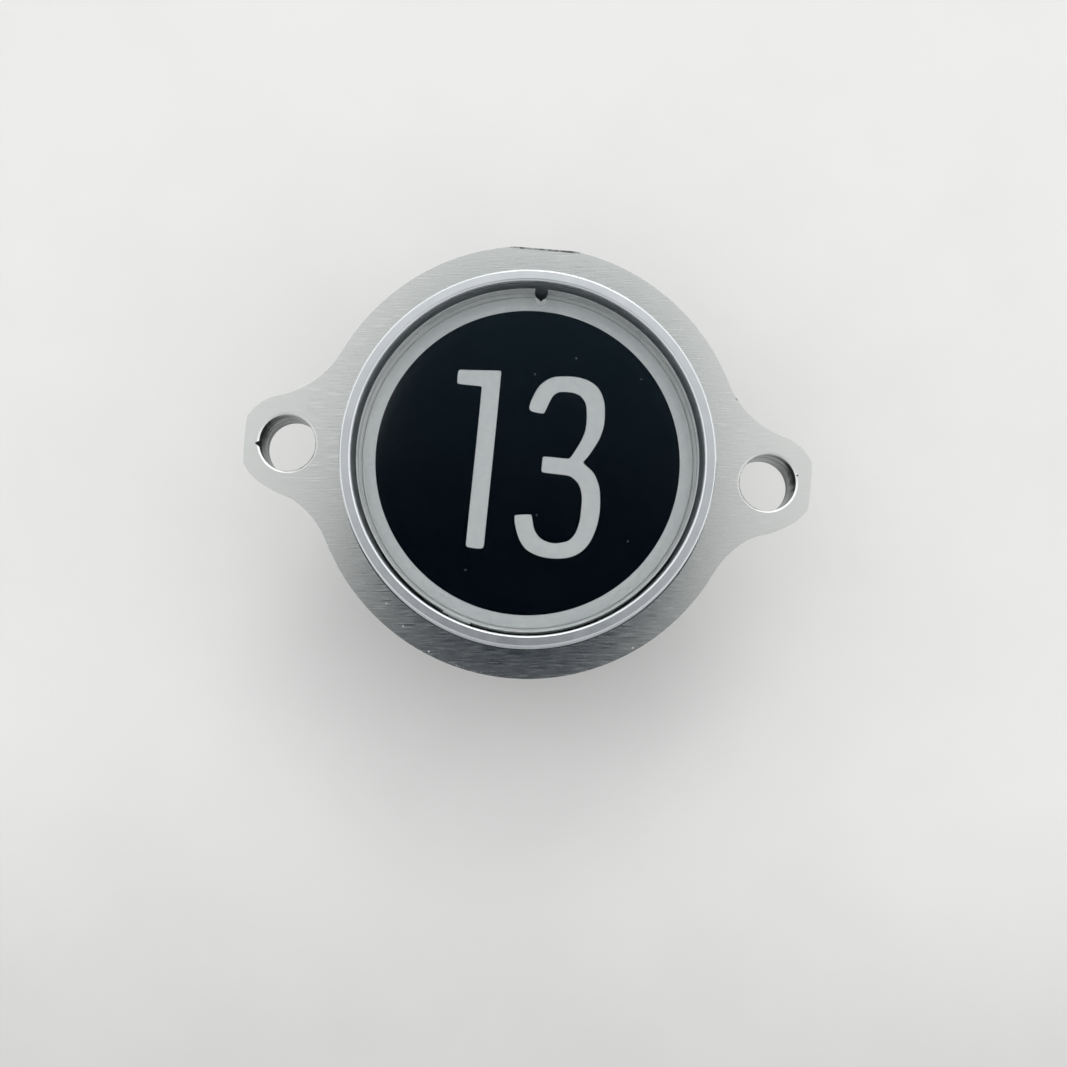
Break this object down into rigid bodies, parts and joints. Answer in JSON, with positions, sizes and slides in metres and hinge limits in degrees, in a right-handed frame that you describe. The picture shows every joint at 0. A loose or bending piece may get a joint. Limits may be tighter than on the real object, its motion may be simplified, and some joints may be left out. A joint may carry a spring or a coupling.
{
  "type": "lift call button",
  "caption": "Round lit lift call button: an eared metal plate and collar, a sprung pressel with a clear lens, and a switch, lamps and plug in the housing behind.",
  "frame": {"origin": "centre of the plate's front face, on the button's axis, midway between the ear holes", "axes": "+Z along the button's axis towards the user, +X from one ear to the other, +Y up on the wall, towards the lens notch"},
  "size_m": [0.0554, 0.042, 0.023],
  "materials": {
    "brushed_plate": "face brushed in one direction, clear anodised",
    "satin_collar": "turned, fine satin, bright chamfers",
    "sleeve_plastic": "moulded acetal, dull",
    "clear_lens": "clear acrylic, polished",
    "printed_label": "silver film with a black printed circle and a plain numeral",
    "diffuser_film": "frosted film",
    "opal_plastic": "moulded opal polycarbonate",
    "spring_steel": "drawn wire",
    "white_plastic": "moulded white ABS",
    "board": "glass-fibre laminate with green solder mask",
    "led": "white case with a yellowish potting",
    "chip_black": "moulded epoxy",
    "capacitor_can": "drawn can",
    "switch_plastic": "moulded, glass-filled",
    "plunger_red": "moulded",
    "tinned_brass": "tinned",
    "connector_ivory": "moulded nylon",
    "housing_black": "moulded ABS, fine grain",
    "screw_steel": "zinc plated"
  },
  "bodies": {
    "fixed_body": {"flange_plate": "brushed_plate", "collar_ring": "satin_collar", "guide_sleeve": "sleeve_plastic", "return_spring": "spring_steel", "reflector": "white_plastic", "circuit_board": "board", "leds": "led", "resistors": "chip_black", "rectifier": "chip_black", "smoothing_capacitor": "capacitor_can", "switch_case": "switch_plastic", "switch_terminals": "tinned_brass", "connector_shell": "connector_ivory", "connector_pins": "tinned_brass", "housing": "housing_black", "back_cover": "housing_black", "housing_screws": "screw_steel", "cover_screws": "screw_steel"},
    "pressel": {"lens": "clear_lens", "label_disc": "printed_label", "diffuser_disc": "diffuser_film", "label_carrier": "opal_plastic"},
    "plunger": {"switch_plunger": "plunger_red"}
  },
  "joints": [
    {"name": "button_press", "type": "slide", "parent": "fixed_body", "child": "pressel", "axis": [0, 0, -1], "range_m": [0, 0.001], "stiffness_N_per_m": 1500, "springref_m": -0.0013, "deforming": ["return_spring"]},
    {"name": "plunger_travel", "type": "slide", "parent": "fixed_body", "child": "plunger", "axis": [0, 0, -1], "range_m": [0, 0.001]}
  ],
  "couplings": [
    {"joint": "plunger_travel", "follows": "button_press", "ratio": 1}
  ]
}
